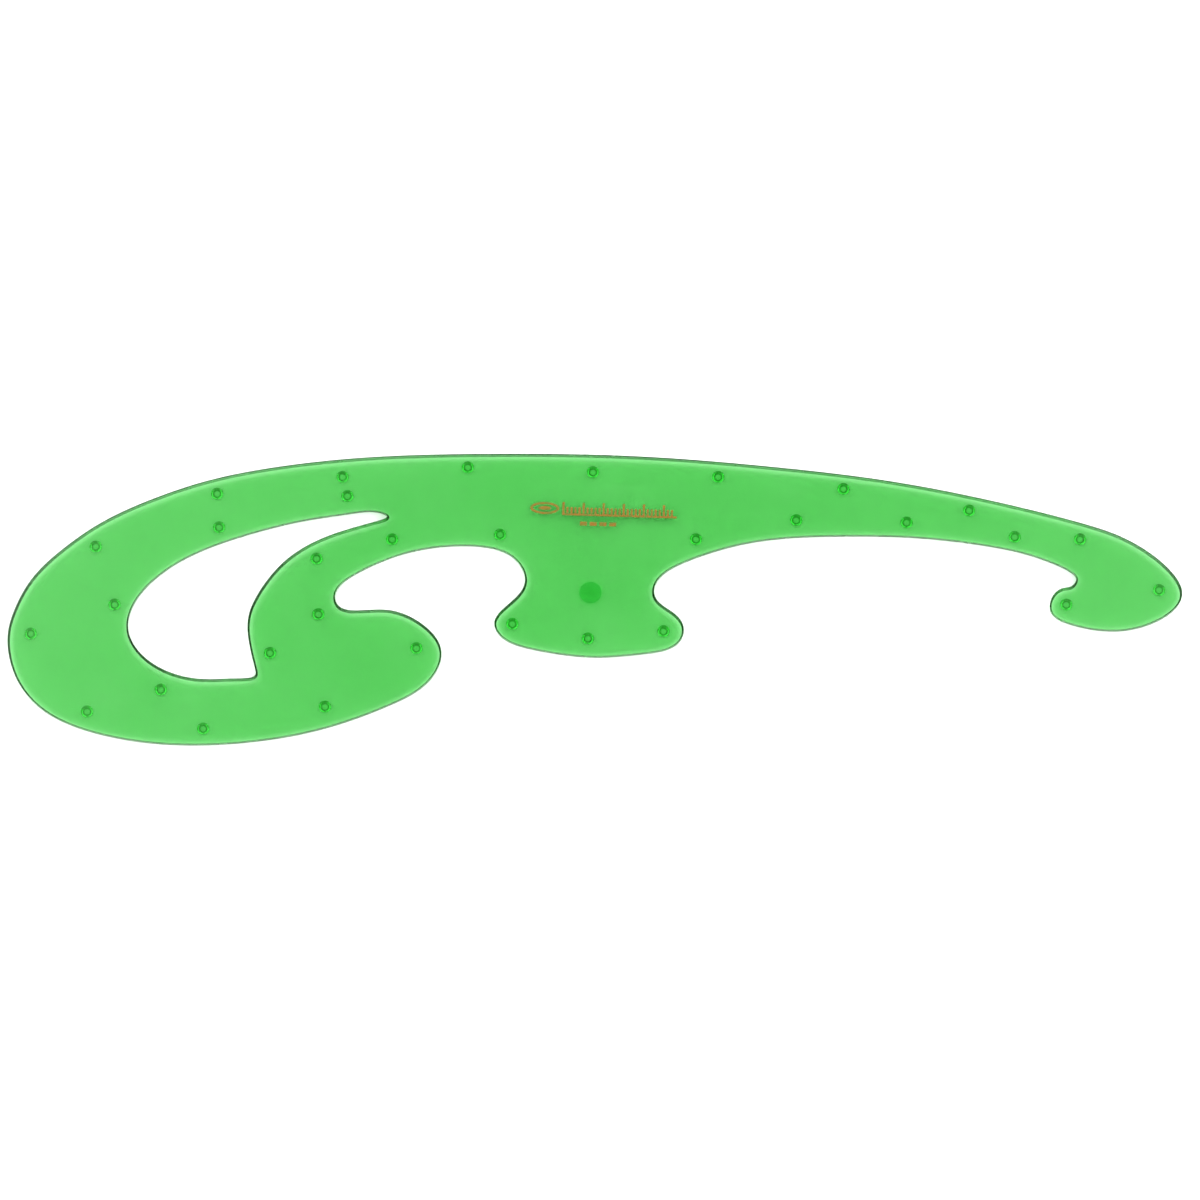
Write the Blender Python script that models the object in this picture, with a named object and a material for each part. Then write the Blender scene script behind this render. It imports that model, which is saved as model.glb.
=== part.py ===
"""French curve: a flat see-through drawing template with moulded pips and a foil-stamped mark.

The template stands on the pips under its plate, which hold its edge off wet ink. +X runs along
its length towards the narrow tail, +Y towards its long convex back, and +Z up. The origin is the
middle of its bounding box, on the plane that the pips stand on. Lengths below are in millimetres
and MM turns them into metres.
"""

import math

import bmesh
import bpy
import numpy as np

MM = 0.001

# Driving dimensions.
PLATE_THICKNESS = 1.5
EDGE_CHAMFER = 0.4
OUTLINE_STEP = 1.6
OUTLINE_MIN_STEPS = 4
PARAMETER_POWER = 0.5
MERGE_DISTANCE = 0.01

PIP_BASE_DIAMETER = 2.4
PIP_END_DIAMETER = 1.7
PIP_HEIGHT = 0.5
PIP_SIDES = 24

GATE_CENTRE = (-1.0, 1.5)
GATE_BASE_DIAMETER = 5.4
GATE_END_DIAMETER = 3.8
GATE_HEIGHT = 0.45
GATE_SIDES = 40

BOSS_ROOT = 0.4
TRIM_SIZE = (260.0, 80.0)

PLATE_BOTTOM = PIP_HEIGHT
PLATE_TOP = PLATE_BOTTOM + PLATE_THICKNESS

FOIL_GAP = 0.3
FOIL_THICKNESS = 0.05
FOIL_SLOPE = math.radians(-1.8)
FOIL_CENTRE = (4.8, 18.2)
EMBLEM_OFFSET = -14.9
EMBLEM_SIZE = (5.8, 2.5)
EMBLEM_HOLE_SIZE = (4.7, 1.6)
EMBLEM_CORE_SIZE = (2.6, 0.8)
EMBLEM_SIDES = 36
SCALE_LENGTH = 22.8
SCALE_LINE_WIDTH = 0.4
SCALE_TICK_WIDTH = 0.45
SCALE_TICK_PITCH = 0.8
SCALE_TALL_TICK = 2.7
SCALE_SHORT_TICK = 1.7
SCALE_TALL_EVERY = 5
DASH_COUNT = 4
DASH_SIZE = (1.4, 0.8)
DASH_PITCH = 1.95
DASH_OFFSET = (-4.2, -3.0)

# The plate's edge is one smooth closed line through these stations, clockwise from above. A
# station stands at each crest, extreme and change of bend, and halfway along a long sweep.
BACK = [(-97, 16.5), (-86, 21.5), (-73, 25.5), (-49, 29), (-22, 30), (8, 29.5), (38, 27), (66, 23)]
TAIL = [(97, 15.5), (107, 11.5), (114, 6), (116.5, 1), (114, -3), (105, -6.5), (95, -5.5)]
HOOK = [(90.5, -3), (90.5, 0), (92.5, 2), (94.5, 2.5), (95.5, 4), (94.5, 5.5)]
TAIL_ARCH = [(88, 8.5), (80.5, 10.5), (66, 12.5), (50, 13), (33, 12), (20, 8.5), (12.5, 4), (12, 0)]
MIDDLE_LOBE = [(15.5, -3), (17.5, -6), (16, -9.5), (8, -11.5), (-1, -12), (-12, -10.5), (-18.5, -8),
               (-20, -4.5)]
HEAD_ARCH = [(-16, 0), (-14, 4), (-17, 9), (-26.5, 11), (-37.5, 9.5), (-47, 5.5), (-51.5, 1.5),
             (-51, -1.5)]
HEAD_LOBE = [(-47.5, -2.5), (-40.5, -2.5), (-33.5, -6), (-30.5, -11), (-33, -17), (-41, -22)]
HEAD = [(-57, -27.5), (-80, -30), (-97, -28), (-109, -23), (-115, -15.5), (-116.5, -8), (-115.5, -3),
        (-112, 4), (-105, 11)]
OUTER_EDGE = BACK + TAIL + HOOK + TAIL_ARCH + MIDDLE_LOBE + HEAD_ARCH + HEAD_LOBE + HEAD

# The teardrop window in the head, anticlockwise from its narrow tip.
WINDOW = [(-43.5, 18), (-50, 17.5), (-59, 16), (-74.5, 11.5), (-84.5, 6.5), (-91, 0), (-92.5, -7),
          (-87.5, -13.5), (-79, -16.5), (-72, -16.5), (-67.5, -16), (-67.5, -14), (-69, -6),
          (-67.5, 0), (-62, 7.5), (-53, 13), (-43.5, 16), (-41.5, 17)]

# Pips: a row at a 25 mm pitch under the long back, and the others spread along the other edges,
# all on a half-millimetre grid.
BACK_ROW_START = -75.5
BACK_ROW_PITCH = 25.0
BACK_ROW_HEIGHTS = [22, 25.5, 27.5, 26.5, 25.5, 23, 18.5]
HEAD_PIPS = [(-99.5, 11), (-112, -7), (-95.5, -1), (-100.5, -23), (-86, -18.5), (-77.5, -26.5),
             (-53.5, -22), (-64.5, -11), (-35.5, -10), (-55, -3), (-55.5, 8.5), (-40.5, 12.5),
             (-75, 15), (-49.5, 21.5)]
MIDDLE_PIPS = [(-19, 13.5), (-16.5, -5), (-1.5, -8), (13.5, -6.5), (20, 12.5)]
TAIL_PIPS = [(40, 16.5), (62, 16), (83.5, 13), (96.5, 12.5), (112, 2), (93.5, -1)]


def clear_scene():
    for item in list(bpy.data.objects):
        bpy.data.objects.remove(item, do_unlink=True)


def make_collection(name, hidden=False):
    collection = bpy.data.collections.new(name)
    bpy.context.scene.collection.children.link(collection)
    collection.hide_render = hidden
    return collection


def make_material(name, color, roughness, transmission=0.0, metallic=0.0):
    material = bpy.data.materials.new(name)
    material.use_nodes = True
    shader = material.node_tree.nodes["Principled BSDF"]
    shader.inputs["Base Color"].default_value = (*color, 1.0)
    shader.inputs["Roughness"].default_value = roughness
    shader.inputs["Metallic"].default_value = metallic
    shader.inputs["Transmission Weight"].default_value = transmission
    material.diffuse_color = (*color, 1.0)
    return material


def smooth_loop(stations):
    """Points on a closed curve through the stations, with its slope and bend continuous."""
    points = np.array(stations, dtype=float)
    count = len(points)
    spans = np.roll(points, -1, axis=0) - points
    chords = np.hypot(spans[:, 0], spans[:, 1])
    widths = chords ** PARAMETER_POWER
    matrix = np.zeros((count, count))
    target = np.zeros((count, 2))
    for i in range(count):
        matrix[i, i - 1] += widths[i - 1]
        matrix[i, i] += 2 * (widths[i - 1] + widths[i])
        matrix[i, (i + 1) % count] += widths[i]
        target[i] = 6 * (spans[i] / widths[i] - spans[i - 1] / widths[i - 1])
    bends = np.linalg.solve(matrix, target)
    loop = []
    for i in range(count):
        j = (i + 1) % count
        width = widths[i]
        steps = max(OUTLINE_MIN_STEPS, math.ceil(chords[i] / OUTLINE_STEP))
        after = (np.arange(steps) / steps * width)[:, None]
        before = width - after
        cubic = (bends[i] * before ** 3 + bends[j] * after ** 3) / (6 * width)
        start = (points[i] / width - bends[i] * width / 6) * before
        end = (points[j] / width - bends[j] * width / 6) * after
        loop.append(cubic + start + end)
    return np.vstack(loop)


def filled_outline(name, loops, bottom, thickness, chamfer=0.0):
    """A closed mesh made from a filled 2D curve, with both its rims chamfered."""
    curve = bpy.data.curves.new(name, "CURVE")
    curve.dimensions = "2D"
    curve.fill_mode = "BOTH"
    curve.extrude = (thickness / 2 - chamfer) * MM
    curve.bevel_depth = chamfer * MM
    curve.bevel_resolution = 0
    curve.offset = -chamfer * MM
    for loop in loops:
        spline = curve.splines.new("POLY")
        spline.points.add(len(loop) - 1)
        for point, (x, y) in zip(spline.points, loop):
            point.co = (x * MM, y * MM, 0.0, 1.0)
        spline.use_cyclic_u = True
    guide = bpy.data.objects.new(name + "_outline", curve)
    bpy.context.scene.collection.objects.link(guide)
    guide.location.z = (bottom + thickness / 2) * MM
    bpy.context.view_layer.update()
    evaluated = guide.evaluated_get(bpy.context.evaluated_depsgraph_get())
    mesh = bpy.data.meshes.new_from_object(evaluated)
    mesh.name = name
    place = guide.matrix_world.copy()
    bpy.data.objects.remove(guide, do_unlink=True)
    shape = bmesh.new()
    shape.from_mesh(mesh)
    bmesh.ops.remove_doubles(shape, verts=shape.verts, dist=MERGE_DISTANCE * MM)
    bmesh.ops.recalc_face_normals(shape, faces=shape.faces)
    shape.to_mesh(mesh)
    shape.free()
    item = bpy.data.objects.new(name, mesh)
    item.matrix_world = place
    return item


def add_boss(shape, centre, base_diameter, end_diameter, height, sides):
    """A frustum that hangs under the plate, with its slope carried on up inside the plate."""
    x, y = centre
    slope = (base_diameter - end_diameter) / height
    root_diameter = base_diameter + slope * BOSS_ROOT
    length = height + BOSS_ROOT
    made = bmesh.ops.create_cone(shape, cap_ends=True, segments=sides,
                                 radius1=end_diameter / 2 * MM, radius2=root_diameter / 2 * MM,
                                 depth=length * MM)
    middle = PLATE_BOTTOM - height + length / 2
    bmesh.ops.translate(shape, verts=made["verts"], vec=(x * MM, y * MM, middle * MM))


def add_boolean(target, operand, operation):
    modifier = target.modifiers.new(operand.name, "BOOLEAN")
    modifier.operation = operation
    modifier.solver = "EXACT"
    modifier.object = operand


def pip_centres(shift):
    centres = []
    for number, y in enumerate(BACK_ROW_HEIGHTS):
        centres.append((BACK_ROW_START + number * BACK_ROW_PITCH, y))
    centres += HEAD_PIPS + MIDDLE_PIPS + TAIL_PIPS
    return [(x - shift[0], y - shift[1]) for x, y in centres]


def make_tool(tools, name, shape):
    """A hidden object for a Boolean, from a bmesh that it frees."""
    mesh = bpy.data.meshes.new(name)
    shape.to_mesh(mesh)
    shape.free()
    tool = bpy.data.objects.new(name, mesh)
    tool.hide_render = True
    tool.display_type = "WIRE"
    tools.objects.link(tool)
    return tool


def make_bosses(tools, shift):
    """The pips and the gate's stub as one mesh of separate frustums."""
    shape = bmesh.new()
    for centre in pip_centres(shift):
        add_boss(shape, centre, PIP_BASE_DIAMETER, PIP_END_DIAMETER, PIP_HEIGHT, PIP_SIDES)
    gate = (GATE_CENTRE[0] - shift[0], GATE_CENTRE[1] - shift[1])
    add_boss(shape, gate, GATE_BASE_DIAMETER, GATE_END_DIAMETER, GATE_HEIGHT, GATE_SIDES)
    return make_tool(tools, "bosses", shape)


def make_trim(tools):
    """A block over the plate's top, which takes off the upper chamfer."""
    shape = bmesh.new()
    made = bmesh.ops.create_cube(shape, size=1.0)
    size = (TRIM_SIZE[0] * MM, TRIM_SIZE[1] * MM, PLATE_THICKNESS * 2 * MM)
    bmesh.ops.scale(shape, verts=made["verts"], vec=size)
    middle = PLATE_TOP + PLATE_THICKNESS
    bmesh.ops.translate(shape, verts=made["verts"], vec=(0, 0, middle * MM))
    return make_tool(tools, "trim", shape)


def make_plate(parts, tools, outer, window, shift):
    """The moulding: chamfered along its lower rim only, so that its upper rim is the ruling edge."""
    tall = PLATE_THICKNESS + EDGE_CHAMFER * 2
    plate = filled_outline("curve_plate", [outer, window], PLATE_BOTTOM, tall, EDGE_CHAMFER)
    parts.objects.link(plate)
    add_boolean(plate, make_trim(tools), "DIFFERENCE")
    add_boolean(plate, make_bosses(tools, shift), "UNION")
    plate.data.materials.append(make_material("green_plastic", (0.08, 0.58, 0.09), 0.12, 0.8))


def oval(size, sides):
    angles = np.arange(sides) / sides * 2 * math.pi
    return np.column_stack([size[0] * np.cos(angles), size[1] * np.sin(angles)]) / 2


def rectangle(width, height):
    return np.array([(-width, -height), (width, -height), (width, height), (-width, height)]) / 2


def scale_outline():
    """A line with ticks standing on it, as one comb-shaped loop centred on its own middle."""
    bottom = -SCALE_TALL_TICK / 2
    line_top = bottom + SCALE_LINE_WIDTH
    left = -SCALE_LENGTH / 2
    count = int((SCALE_LENGTH - SCALE_TICK_WIDTH) / SCALE_TICK_PITCH) + 1
    loop = [(left, bottom), (-left, bottom), (-left, line_top)]
    for number in reversed(range(count)):
        tall = number % SCALE_TALL_EVERY == 0
        top = bottom + (SCALE_TALL_TICK if tall else SCALE_SHORT_TICK)
        x = left + number * SCALE_TICK_PITCH
        if number < count - 1 or x + SCALE_TICK_WIDTH < -left:
            loop.append((x + SCALE_TICK_WIDTH, line_top))
        loop += [(x + SCALE_TICK_WIDTH, top), (x, top)]
        if number:
            loop.append((x, line_top))
    return np.array(loop)


def make_foil(parts, name, loops, offset, shift, material):
    """A thin film lying along the print line, which falls slightly towards the tail."""
    foil = filled_outline(name, loops, PLATE_TOP + FOIL_GAP, FOIL_THICKNESS)
    along, across = offset
    x = FOIL_CENTRE[0] - shift[0] + along * math.cos(FOIL_SLOPE) - across * math.sin(FOIL_SLOPE)
    y = FOIL_CENTRE[1] - shift[1] + along * math.sin(FOIL_SLOPE) + across * math.cos(FOIL_SLOPE)
    foil.location.x = x * MM
    foil.location.y = y * MM
    foil.rotation_euler.z = FOIL_SLOPE
    foil.data.materials.append(material)
    parts.objects.link(foil)


def make_print(parts, shift):
    bronze = make_material("bronze_foil", (0.42, 0.20, 0.02), 0.35, metallic=0.3)
    ring = [oval(EMBLEM_SIZE, EMBLEM_SIDES), oval(EMBLEM_HOLE_SIZE, EMBLEM_SIDES)]
    core = [oval(EMBLEM_CORE_SIZE, EMBLEM_SIDES)]
    make_foil(parts, "foil_oval", ring, (EMBLEM_OFFSET, 0), shift, bronze)
    make_foil(parts, "foil_oval_core", core, (EMBLEM_OFFSET, 0), shift, bronze)
    make_foil(parts, "foil_scale", [scale_outline()], (0, 0), shift, bronze)
    for number in range(DASH_COUNT):
        along = DASH_OFFSET[0] + (number - (DASH_COUNT - 1) / 2) * DASH_PITCH
        name = f"foil_dash_{number + 1}"
        make_foil(parts, name, [rectangle(*DASH_SIZE)], (along, DASH_OFFSET[1]), shift, bronze)


def main():
    clear_scene()
    parts = make_collection("french_curve")
    tools = make_collection("tools", hidden=True)
    outer = smooth_loop(OUTER_EDGE)
    shift = (outer.min(axis=0) + outer.max(axis=0)) / 2
    window = smooth_loop(WINDOW)
    make_plate(parts, tools, outer - shift, window - shift, shift)
    make_print(parts, shift)


main()
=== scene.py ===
"""Looks of the french curve: clear green moulded plastic with crowned pips and worn bronze foil."""

import math

import bmesh
import bpy
import numpy as np
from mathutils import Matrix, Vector


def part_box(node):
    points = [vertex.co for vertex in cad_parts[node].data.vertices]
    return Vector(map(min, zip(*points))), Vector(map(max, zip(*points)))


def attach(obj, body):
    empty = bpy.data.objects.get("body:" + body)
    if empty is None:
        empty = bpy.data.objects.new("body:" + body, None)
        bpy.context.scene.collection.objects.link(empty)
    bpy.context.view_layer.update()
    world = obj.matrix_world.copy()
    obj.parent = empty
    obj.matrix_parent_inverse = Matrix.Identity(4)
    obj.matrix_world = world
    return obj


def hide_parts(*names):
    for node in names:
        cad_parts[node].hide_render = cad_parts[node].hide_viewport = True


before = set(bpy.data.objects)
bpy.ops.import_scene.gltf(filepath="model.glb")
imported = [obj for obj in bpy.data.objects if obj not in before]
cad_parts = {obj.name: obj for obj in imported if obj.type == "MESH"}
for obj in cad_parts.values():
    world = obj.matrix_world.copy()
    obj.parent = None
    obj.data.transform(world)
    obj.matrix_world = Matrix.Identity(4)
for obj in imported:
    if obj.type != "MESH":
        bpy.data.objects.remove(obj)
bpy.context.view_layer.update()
BODY = "root"
PLATE_NODE = "curve_plate"
MM = 0.001

# Moulding details, in metres.
FLAT_TOLERANCE = 1e-6
WELD_DISTANCE = 2e-6
FLAT_NORMAL = 0.9999
UPRIGHT_NORMAL = 0.01
CREASE_ANGLE = math.radians(35)
PIP_SEARCH = 2 * MM
GATE_SEARCH = 3 * MM
LOOP_REFINEMENT = 3
TOP_ROUND = 0.06 * MM
TOP_ROUND_STEPS = 3
END_CROWN = 0.1 * MM
END_STEPS = 5
PIP_SIDES = 40
GATE_SIDES = 64
RIM_STEEPNESS = 1.3
BOSS_ROOT = 0.2 * MM
FOIL_CLEARANCE = 0.02 * MM
FOIL_THICKNESS = 0.02 * MM

# Plastic: its dye, by the share of each colour that passes, and its surface.
PLASTIC_IOR = 1.49
DYE_COLOR = (0.31, 0.845, 0.34, 1)
DYE_DENSITY = 1000
CLOUD_STRETCH = (14, 30, 30)
CLOUD_COLORS = ((0.94, 0.99, 0.94), (0.98, 1.0, 0.98))
HAZE_SCALE = 60
HAZE_ROUGHNESS = (0.05, 0.13)
HAIRLINE_ROUGHNESS = 0.08
HAIRLINE_STRETCH = (40, 2600, 1)
HAIRLINE_TURN = 0.5
CROSSLINE_STRETCH = (50, 3100, 1)
CROSSLINE_TURN = -0.9
PLASTIC_GRAIN_SCALE = 420
PLASTIC_BUMP = 0.12
PLASTIC_BUMP_DEPTH = 0.02 * MM

# Foil and paper.
FOIL_WEAR_SCALE = 1400
FOIL_COLORS = ((0.20, 0.09, 0.006), (0.09, 0.12, 0.010))
FOIL_ROUGHNESS = (0.3, 0.55)
FOIL_SPECULAR = 0.2
FOIL_BUMP = 0.2
FOIL_BUMP_DEPTH = 0.01 * MM
PAPER_GRAIN_SCALE = 900
PAPER_COLORS = ((0.93, 0.93, 0.93), (0.96, 0.96, 0.96))
PAPER_ROUGHNESS = 0.9
PAPER_SPECULAR = 0.1

# Painted shade: darker colours on the pips' sides, the gate stub and the side walls, which multiply
# the light passing through in place of the dark rings and edge lines that refraction gives, and how far
# from the end or the root each of them keeps clear.
PIP_PAINTED_SHADE = (0.08, 0.36, 0.09)
PIP_CLEAR = 0.03 * MM
GATE_PAINTED_SHADE = (0.42, 0.86, 0.55)
GATE_CLEAR = 0.2 * MM
GATE_REACH = 2.9 * MM
WALL_PAINTED_SHADE = (0.45, 0.62, 0.48)
WALL_ROUGHNESS = 0.18
PAINTED_SHADE_BLUR = 0.03 * MM

# Camera: a long lens high in front, its aim a little off the middle of the plate.
CAMERA_ELEVATION = math.radians(74)
CAMERA_DISTANCE = 1.323
CAMERA_LENS = 200
CAMERA_AIM = (0.9 * MM, -0.4 * MM)

FLOOR_SIZE = 8.0
FLOOR_GAP = 0.05 * MM

# Light: a dome, darker low down and where the plate would mirror it, and one soft key light.
SKY_STRENGTH = 2.3
SKY_HORIZON = 0.08
SKY_RISE = (0.05, 0.5)
SHADE_WAY = (0.0, math.cos(math.radians(72.5)), math.sin(math.radians(72.5)))
SHADE_DEPTH = 0.0
SHADE_SPREAD = (math.cos(math.radians(9)), math.cos(math.radians(1)))
KEY_PLACE = (-0.4, 0.9, 1.3)
KEY_SIZE = (1.2, 1.2)
KEY_POWER = 1


# ---------------------------------------------------------------- reading the frame

def welded(node):
    """The node's mesh as a bmesh, with the corners that its file stores apart joined again."""
    shape = bmesh.new()
    shape.from_mesh(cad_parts[node].data)
    bmesh.ops.remove_doubles(shape, verts=shape.verts, dist=WELD_DISTANCE)
    shape.normal_update()
    return shape


def chained(edges):
    """Closed loops of positions along edges that meet end to end."""
    neighbours = {}
    for edge in edges:
        first, second = edge.verts
        neighbours.setdefault(first, []).append(second)
        neighbours.setdefault(second, []).append(first)
    loops = []
    unseen = set(neighbours)
    while unseen:
        start = min(unseen, key=lambda vert: vert.index)
        loop, previous, here = [], None, start
        while here in unseen:
            unseen.discard(here)
            loop.append(here.co.copy())
            onward = [vert for vert in neighbours[here] if vert is not previous]
            previous, here = here, onward[0]
        loops.append(loop)
    return sorted(loops, key=len, reverse=True)


def level_groups(shape, height):
    """Groups of joined faces that lie flat at a height, each as its (centre, radius)."""
    level = {face for face in shape.faces
             if abs(face.normal.z) > FLAT_NORMAL
             and abs(face.calc_center_median().z - height) < FLAT_TOLERANCE}
    groups = []
    while level:
        stack, verts = [level.pop()], set()
        while stack:
            face = stack.pop()
            verts.update(face.verts)
            for edge in face.edges:
                for other in edge.link_faces:
                    if other in level:
                        level.discard(other)
                        stack.append(other)
        points = np.array([vert.co for vert in verts])
        middle = (points.min(axis=0) + points.max(axis=0)) / 2
        groups.append((middle, float(np.ptp(points[:, 0]) / 2)))
    return sorted(groups, key=lambda group: (round(group[0][0], 6), round(group[0][1], 6)))


def radius_near(shape, centre, height, reach):
    """The largest distance from centre of the corners at a height that lie within reach of it."""
    return max(math.dist(vert.co.xy, centre[:2]) for vert in shape.verts
               if abs(vert.co.z - height) < FLAT_TOLERANCE
               and math.dist(vert.co.xy, centre[:2]) < reach)


def read_plate():
    """Every measure that the looks need, taken off the CAD plate."""
    shape = welded(PLATE_NODE)
    top = max(vert.co.z for vert in shape.verts)
    walls = [face for face in shape.faces if abs(face.normal.z) < UPRIGHT_NORMAL]
    wall_low = min(vert.co.z for face in walls for vert in face.verts)
    ring = {edge for face in walls for edge in face.edges
            if all(abs(vert.co.z - wall_low) < FLAT_TOLERANCE for vert in edge.verts)}
    downward = sorted({round(face.calc_center_median().z, 6) for face in shape.faces
                       if face.normal.z < -FLAT_NORMAL})
    pip_end, gate_end, bottom = downward[0], downward[1], downward[-1]
    pips = level_groups(shape, pip_end)
    gate_centre, gate_end_radius = level_groups(shape, gate_end)[0]
    plate = {
        "loops": chained(ring),
        "top": top,
        "bottom": bottom,
        "chamfer": wall_low - bottom,
        "pip_end": pip_end,
        "pip_centres": [centre for centre, radius in pips],
        "pip_end_radius": pips[0][1],
        "pip_radius": radius_near(shape, pips[0][0], bottom, PIP_SEARCH),
        "gate_end": gate_end,
        "gate_centre": gate_centre,
        "gate_end_radius": gate_end_radius,
        "gate_radius": radius_near(shape, gate_centre, bottom, GATE_SEARCH),
    }
    shape.free()
    return plate


# ---------------------------------------------------------------- making meshes

def finer_loop(loop):
    """The same closed loop with points added along a smooth curve through its own points."""
    points = np.array([(point.x, point.y) for point in loop])
    before, after = np.roll(points, 1, axis=0), np.roll(points, -1, axis=0)
    beyond = np.roll(points, -2, axis=0)
    rows = []
    for step in range(LOOP_REFINEMENT):
        t = step / LOOP_REFINEMENT
        rows.append(0.5 * (2 * points + (after - before) * t
                           + (2 * before - 5 * points + 4 * after - beyond) * t ** 2
                           + (3 * points - before - 3 * after + beyond) * t ** 3))
    return np.stack(rows, axis=1).reshape(-1, 2)


def linked(name, data):
    """A new object in the scene, with its mesh, light or camera data."""
    item = bpy.data.objects.new(name, data)
    bpy.context.scene.collection.objects.link(item)
    return item


def inset(loop, distance, inward):
    """The loop moved sideways into the plastic by a distance."""
    along = np.roll(loop, -1, axis=0) - np.roll(loop, 1, axis=0)
    along /= np.hypot(along[:, 0], along[:, 1])[:, None]
    sideways = np.column_stack([-along[:, 1], along[:, 0]])
    return loop + sideways * distance * inward


def turns_left(loop):
    x, y = loop[:, 0], loop[:, 1]
    return float(np.sum(x * np.roll(y, -1) - np.roll(x, -1) * y)) > 0


def rim_profile(plate):
    """(distance in from the edge, height) of the rim: a chamfer below, and a fine round above."""
    profile = [(plate["chamfer"], plate["bottom"]),
               (0.0, plate["bottom"] + plate["chamfer"] * RIM_STEEPNESS)]
    for step in range(TOP_ROUND_STEPS + 1):
        angle = step / TOP_ROUND_STEPS * math.pi / 2
        profile.append((TOP_ROUND * (1 - math.cos(angle)),
                        plate["top"] - TOP_ROUND * (1 - math.sin(angle))))
    return profile


def sheet_mesh(plate):
    """The flat moulding as a closed mesh: its rims swept round each loop, and a fill between."""
    shape = bmesh.new()
    ends = [[], []]
    for number, coarse in enumerate(plate["loops"]):
        loop = finer_loop(coarse)
        outside = number == 0
        inward = 1 if turns_left(loop) == outside else -1
        rings = []
        for distance, height in rim_profile(plate):
            rings.append([shape.verts.new((x, y, height)) for x, y in inset(loop, distance, inward)])
        for lower, upper in zip(rings, rings[1:]):
            for i in range(len(loop)):
                shape.faces.new((lower[i - 1], lower[i], upper[i], upper[i - 1]))
        for end, ring in zip(ends, (rings[0], rings[-1])):
            end += [shape.edges.get((ring[i - 1], ring[i])) for i in range(len(loop))]
    for end in ends:
        bmesh.ops.triangle_fill(shape, edges=end, use_beauty=True)
    bmesh.ops.recalc_face_normals(shape, faces=shape.faces)
    mesh = bpy.data.meshes.new("moulded_plate")
    shape.to_mesh(mesh)
    shape.free()
    return mesh


def add_turned(shape, profile, sides, centre):
    """Adds a closed turned body to shape, from (radius, height) pairs listed from its lower end up."""
    rings = []
    for radius, height in profile:
        angles = [number / sides * 2 * math.pi for number in range(sides)]
        rings.append([shape.verts.new((centre[0] + radius * math.cos(angle),
                                       centre[1] + radius * math.sin(angle), height))
                      for angle in angles])
    for lower, upper in zip(rings, rings[1:]):
        for i in range(sides):
            shape.faces.new((lower[i - 1], lower[i], upper[i], upper[i - 1]))
    shape.faces.new(reversed(rings[0]))
    shape.faces.new(rings[-1])


def boss_profile(end_radius, radius, end, bottom):
    """A hanging boss: a slightly crowned end, a sloping side, and a root in the plate."""
    slope = (radius - end_radius) / (bottom - end)
    profile = []
    for step in range(1, END_STEPS + 1):
        outward = step / END_STEPS
        profile.append((end_radius * outward, end + END_CROWN * outward ** 2))
    profile += [(radius, bottom), (radius + slope * BOSS_ROOT, bottom + BOSS_ROOT)]
    return profile


def boss_mesh(plate):
    shape = bmesh.new()
    pip = boss_profile(plate["pip_end_radius"], plate["pip_radius"], plate["pip_end"], plate["bottom"])
    for centre in plate["pip_centres"]:
        add_turned(shape, pip, PIP_SIDES, centre)
    gate = boss_profile(plate["gate_end_radius"], plate["gate_radius"],
                        plate["gate_end"], plate["bottom"])
    add_turned(shape, gate, GATE_SIDES, plate["gate_centre"])
    bmesh.ops.recalc_face_normals(shape, faces=shape.faces)
    mesh = bpy.data.meshes.new("bosses")
    shape.to_mesh(mesh)
    shape.free()
    return mesh


def apply_boolean(target, mesh, operation):
    tool = linked(mesh.name + "_tool", mesh)
    modifier = target.modifiers.new(mesh.name, "BOOLEAN")
    modifier.operation = operation
    modifier.solver = "EXACT"
    modifier.object = tool
    bpy.context.view_layer.update()
    result = bpy.data.meshes.new_from_object(
        target.evaluated_get(bpy.context.evaluated_depsgraph_get()))
    target.modifiers.clear()
    target.data = result
    bpy.data.objects.remove(tool, do_unlink=True)


def smooth_but_flat(mesh):
    """Smooth shading on every rounding, with crisp flats where a flat meets a rounding."""
    shape = bmesh.new()
    shape.from_mesh(mesh)
    shape.normal_update()
    for face in shape.faces:
        face.smooth = True
    for edge in shape.edges:
        flats = [abs(face.normal.z) > FLAT_NORMAL for face in edge.link_faces]
        bent = len(edge.link_faces) == 2 and edge.calc_face_angle() > CREASE_ANGLE
        edge.smooth = not (any(flats) and not all(flats)) and not bent
    shape.to_mesh(mesh)
    shape.free()


# ---------------------------------------------------------------- materials

def new_material(name):
    material = bpy.data.materials.new(name)
    material.use_nodes = True
    nodes = material.node_tree.nodes
    return material, nodes, material.node_tree.links, nodes["Principled BSDF"]


def noise(nodes, links, vector, scale, detail, roughness=0.5):
    node = nodes.new("ShaderNodeTexNoise")
    node.inputs["Scale"].default_value = scale
    node.inputs["Detail"].default_value = detail
    node.inputs["Roughness"].default_value = roughness
    links.new(vector, node.inputs["Vector"])
    return node.outputs["Fac"]


def stretched(nodes, links, vector, scale, turn=0.0):
    node = nodes.new("ShaderNodeMapping")
    node.inputs["Scale"].default_value = scale
    node.inputs["Rotation"].default_value = (0, 0, turn)
    links.new(vector, node.inputs["Vector"])
    return node.outputs["Vector"]


def ranged(nodes, links, value, low, high, start=0.0, end=1.0):
    node = nodes.new("ShaderNodeMapRange")
    node.inputs["From Min"].default_value = start
    node.inputs["From Max"].default_value = end
    node.inputs["To Min"].default_value = low
    node.inputs["To Max"].default_value = high
    links.new(value, node.inputs["Value"])
    return node.outputs["Result"]


def mixed_color(nodes, links, factor, first, second):
    node = nodes.new("ShaderNodeMix")
    node.data_type = "RGBA"
    node.inputs[6].default_value = (*first, 1)
    node.inputs[7].default_value = (*second, 1)
    links.new(factor, node.inputs[0])
    return node.outputs[2]


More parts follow.
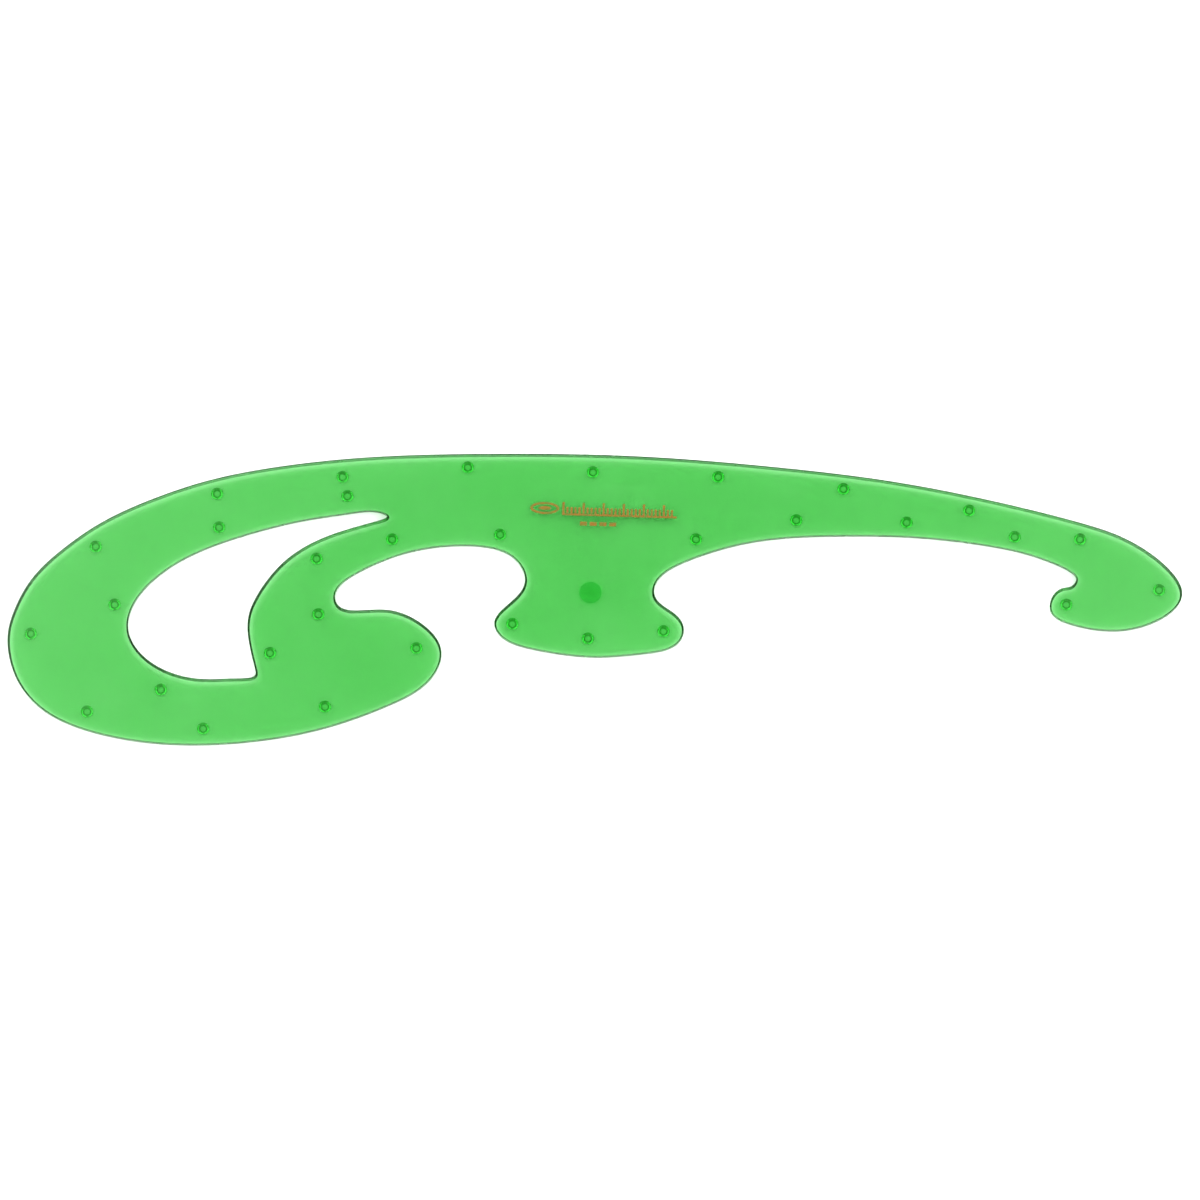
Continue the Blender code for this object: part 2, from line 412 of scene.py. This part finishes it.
def tinted(nodes, links, factor, base, color):
    """The base colour, blended towards another colour by a factor."""
    node = nodes.new("ShaderNodeMix")
    node.data_type = "RGBA"
    node.inputs[7].default_value = (*color, 1)
    links.new(base, node.inputs[6])
    links.new(factor, node.inputs[0])
    return node.outputs[2]


def math_node(nodes, links, operation, first, second):
    node = nodes.new("ShaderNodeMath")
    node.operation = operation
    for socket, value in zip(node.inputs, (first, second)):
        if isinstance(value, (int, float)):
            socket.default_value = value
        else:
            links.new(value, socket)
    return node.outputs[0]


def added(nodes, links, first, second):
    node = nodes.new("ShaderNodeMath")
    node.operation = "ADD"
    links.new(first, node.inputs[0])
    links.new(second, node.inputs[1])
    return node.outputs[0]


def between(nodes, links, height, low, high, blur):
    """1 where height lies between two heights, and 0 outside them."""
    over = ranged(nodes, links, height, 0, 1, low, low + blur)
    under = ranged(nodes, links, height, 1, 0, high - blur, high)
    return math_node(nodes, links, "MULTIPLY", over, under)


def plastic_material(plate):
    material, nodes, links, shader = new_material("clear_green_plastic")
    shader.inputs["IOR"].default_value = PLASTIC_IOR
    shader.inputs["Transmission Weight"].default_value = 1.0
    place = nodes.new("ShaderNodeTexCoord").outputs["Object"]

    # Slow clouding of the dye, drawn out along the flow of the melt.
    cloud = noise(nodes, links, stretched(nodes, links, place, CLOUD_STRETCH), 1.0, 3)
    cloud_and_painted_shade = mixed_color(nodes, links, ranged(nodes, links, cloud, 0, 1, 0.3, 0.7),
                       *CLOUD_COLORS)

    # Painted shade on the pips' sides, the gate stub and the side walls, told apart by height.
    split = nodes.new("ShaderNodeSeparateXYZ")
    links.new(place, split.inputs["Vector"])
    height = split.outputs["Z"]
    reach = nodes.new("ShaderNodeVectorMath")
    reach.operation = "DISTANCE"
    reach.inputs[1].default_value = plate["gate_centre"]
    links.new(place, reach.inputs[0])
    beyond = ranged(nodes, links, reach.outputs["Value"], 0, 1, GATE_REACH, GATE_REACH + PAINTED_SHADE_BLUR)
    # Painted shade: the pips' sloping sides made darker, standing in for the dark rings that refraction
    # gives.
    sides = between(nodes, links, height, plate["pip_end"] + PIP_CLEAR, plate["bottom"], PAINTED_SHADE_BLUR)
    cloud_and_painted_shade = tinted(nodes, links, math_node(nodes, links, "MULTIPLY", sides, beyond), cloud_and_painted_shade, PIP_PAINTED_SHADE)
    # Painted shade: the gate stub made darker, standing in for the darkening that refraction gives there.
    stub_top = plate["bottom"] - GATE_CLEAR
    stub = between(nodes, links, height, -plate["bottom"], stub_top, PAINTED_SHADE_BLUR)
    near = math_node(nodes, links, "SUBTRACT", 1.0, beyond)
    cloud_and_painted_shade = tinted(nodes, links, math_node(nodes, links, "MULTIPLY", stub, near), cloud_and_painted_shade, GATE_PAINTED_SHADE)
    # Painted shade: the side walls made darker, standing in for the dark edge line that refraction gives;
    # the same band also roughens the walls.
    walls = between(nodes, links, height, plate["bottom"], plate["top"], PAINTED_SHADE_BLUR)
    cloud_and_painted_shade = tinted(nodes, links, walls, cloud_and_painted_shade, WALL_PAINTED_SHADE)
    links.new(cloud_and_painted_shade, shader.inputs["Base Color"])

    # Handling marks: faint haze in patches, and hairlines in two directions.
    haze = noise(nodes, links, place, HAZE_SCALE, 4)
    hair = noise(nodes, links, stretched(nodes, links, place, HAIRLINE_STRETCH, HAIRLINE_TURN), 1.0, 2)
    cross = noise(nodes, links, stretched(nodes, links, place, CROSSLINE_STRETCH, CROSSLINE_TURN), 1.0, 2)
    marks = added(nodes, links, ranged(nodes, links, hair, 0, HAIRLINE_ROUGHNESS, 0.62, 0.72),
                  ranged(nodes, links, cross, 0, HAIRLINE_ROUGHNESS, 0.64, 0.74))
    surface = added(nodes, links, ranged(nodes, links, haze, *HAZE_ROUGHNESS, 0.35, 0.7), marks)
    links.new(added(nodes, links, surface, ranged(nodes, links, walls, 0, WALL_ROUGHNESS)),
              shader.inputs["Roughness"])

    bump = nodes.new("ShaderNodeBump")
    bump.inputs["Strength"].default_value = PLASTIC_BUMP
    bump.inputs["Distance"].default_value = PLASTIC_BUMP_DEPTH
    orange_peel = noise(nodes, links, place, PLASTIC_GRAIN_SCALE, 2)
    links.new(added(nodes, links, orange_peel, marks), bump.inputs["Height"])
    links.new(bump.outputs["Normal"], shader.inputs["Normal"])

    dye = nodes.new("ShaderNodeVolumeAbsorption")
    dye.inputs["Color"].default_value = DYE_COLOR
    dye.inputs["Density"].default_value = DYE_DENSITY
    links.new(dye.outputs["Volume"], nodes["Material Output"].inputs["Volume"])
    return material


def foil_material():
    material, nodes, links, shader = new_material("bronze_foil_film")
    place = nodes.new("ShaderNodeTexCoord").outputs["Object"]
    wear = noise(nodes, links, place, FOIL_WEAR_SCALE, 4, 0.65)
    color = mixed_color(nodes, links, ranged(nodes, links, wear, 0, 1, 0.42, 0.62),
                        *FOIL_COLORS)
    links.new(color, shader.inputs["Base Color"])
    links.new(ranged(nodes, links, wear, *FOIL_ROUGHNESS), shader.inputs["Roughness"])
    shader.inputs["Specular IOR Level"].default_value = FOIL_SPECULAR
    bump = nodes.new("ShaderNodeBump")
    bump.inputs["Strength"].default_value = FOIL_BUMP
    bump.inputs["Distance"].default_value = FOIL_BUMP_DEPTH
    links.new(wear, bump.inputs["Height"])
    links.new(bump.outputs["Normal"], shader.inputs["Normal"])
    return material


def floor_material():
    material, nodes, links, shader = new_material("pale_paper")
    place = nodes.new("ShaderNodeTexCoord").outputs["Object"]
    grain = noise(nodes, links, place, PAPER_GRAIN_SCALE, 4)
    links.new(mixed_color(nodes, links, grain, *PAPER_COLORS),
              shader.inputs["Base Color"])
    shader.inputs["Roughness"].default_value = PAPER_ROUGHNESS
    shader.inputs["Specular IOR Level"].default_value = PAPER_SPECULAR
    return material


# ---------------------------------------------------------------- pieces

def make_plate(plate):
    piece = linked("moulded_plate", sheet_mesh(plate))
    apply_boolean(piece, boss_mesh(plate), "UNION")
    smooth_but_flat(piece.data)
    piece.data.materials.clear()
    piece.data.materials.append(plastic_material(plate))
    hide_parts(PLATE_NODE)
    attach(piece, BODY)


def make_foil(surface):
    material = foil_material()
    for node in sorted(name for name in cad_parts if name.startswith("foil_")):
        shape = welded(node)
        low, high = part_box(node)
        middle = (low[2] + high[2]) / 2
        bottom = surface + FOIL_CLEARANCE
        for vert in shape.verts:
            vert.co.z = bottom if vert.co.z < middle else bottom + FOIL_THICKNESS
        mesh = bpy.data.meshes.new(node + "_film")
        shape.to_mesh(mesh)
        shape.free()
        piece = linked(node + "_film", mesh)
        mesh.materials.append(material)
        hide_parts(node)
        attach(piece, BODY)


# ---------------------------------------------------------------- stage

def make_floor():
    bpy.ops.mesh.primitive_plane_add(size=FLOOR_SIZE, location=(0, 0, -FLOOR_GAP))
    floor = bpy.context.object
    floor.name = "floor"
    floor.data.materials.append(floor_material())


def area_light(name, place, aim, size, power):
    light = bpy.data.lights.new(name, "AREA")
    light.shape = "RECTANGLE"
    light.size, light.size_y = size
    light.energy = power
    item = linked(name, light)
    item.location = place
    item.rotation_euler = (Vector(aim) - Vector(place)).to_track_quat("-Z", "Y").to_euler()


def make_sky():
    """A white dome that darkens towards the horizon and round the middle of the mirror view."""
    world = bpy.data.worlds.new("studio")
    world.use_nodes = True
    nodes, links = world.node_tree.nodes, world.node_tree.links
    background = nodes["Background"]
    background.inputs["Color"].default_value = (1, 1, 1, 1)
    way = nodes.new("ShaderNodeTexCoord").outputs["Generated"]
    split = nodes.new("ShaderNodeSeparateXYZ")
    links.new(way, split.inputs["Vector"])
    dome = ranged(nodes, links, split.outputs["Z"], SKY_HORIZON, 1.0, *SKY_RISE)
    facing = nodes.new("ShaderNodeVectorMath")
    facing.operation = "DOT_PRODUCT"
    facing.inputs[1].default_value = SHADE_WAY
    links.new(way, facing.inputs[0])
    shade = ranged(nodes, links, facing.outputs["Value"], 1.0, SHADE_DEPTH, *SHADE_SPREAD)
    strength = math_node(nodes, links, "MULTIPLY", dome, shade)
    lit = math_node(nodes, links, "MULTIPLY", strength, SKY_STRENGTH)
    seen = nodes.new("ShaderNodeLightPath").outputs["Is Camera Ray"]
    links.new(math_node(nodes, links, "MAXIMUM", lit, seen), background.inputs["Strength"])
    bpy.context.scene.world = world


def make_lights():
    make_sky()
    area_light("key", KEY_PLACE, (0, 0, 0), KEY_SIZE, KEY_POWER)


def make_camera():
    data = bpy.data.cameras.new("camera")
    data.type = "PERSP"
    data.lens = CAMERA_LENS
    camera = linked("camera", data)
    aim = Vector((CAMERA_AIM[0], CAMERA_AIM[1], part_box(PLATE_NODE)[1][2]))
    back = Vector((0, -math.cos(CAMERA_ELEVATION), math.sin(CAMERA_ELEVATION)))
    camera.location = aim + back * CAMERA_DISTANCE
    camera.rotation_euler = (-back).to_track_quat("-Z", "Y").to_euler()
    bpy.context.scene.camera = camera


def main():
    plate = read_plate()
    make_camera()
    make_plate(plate)
    make_foil(plate["top"])
    make_floor()
    make_lights()
    bpy.context.scene.view_settings.view_transform = "Standard"


main()
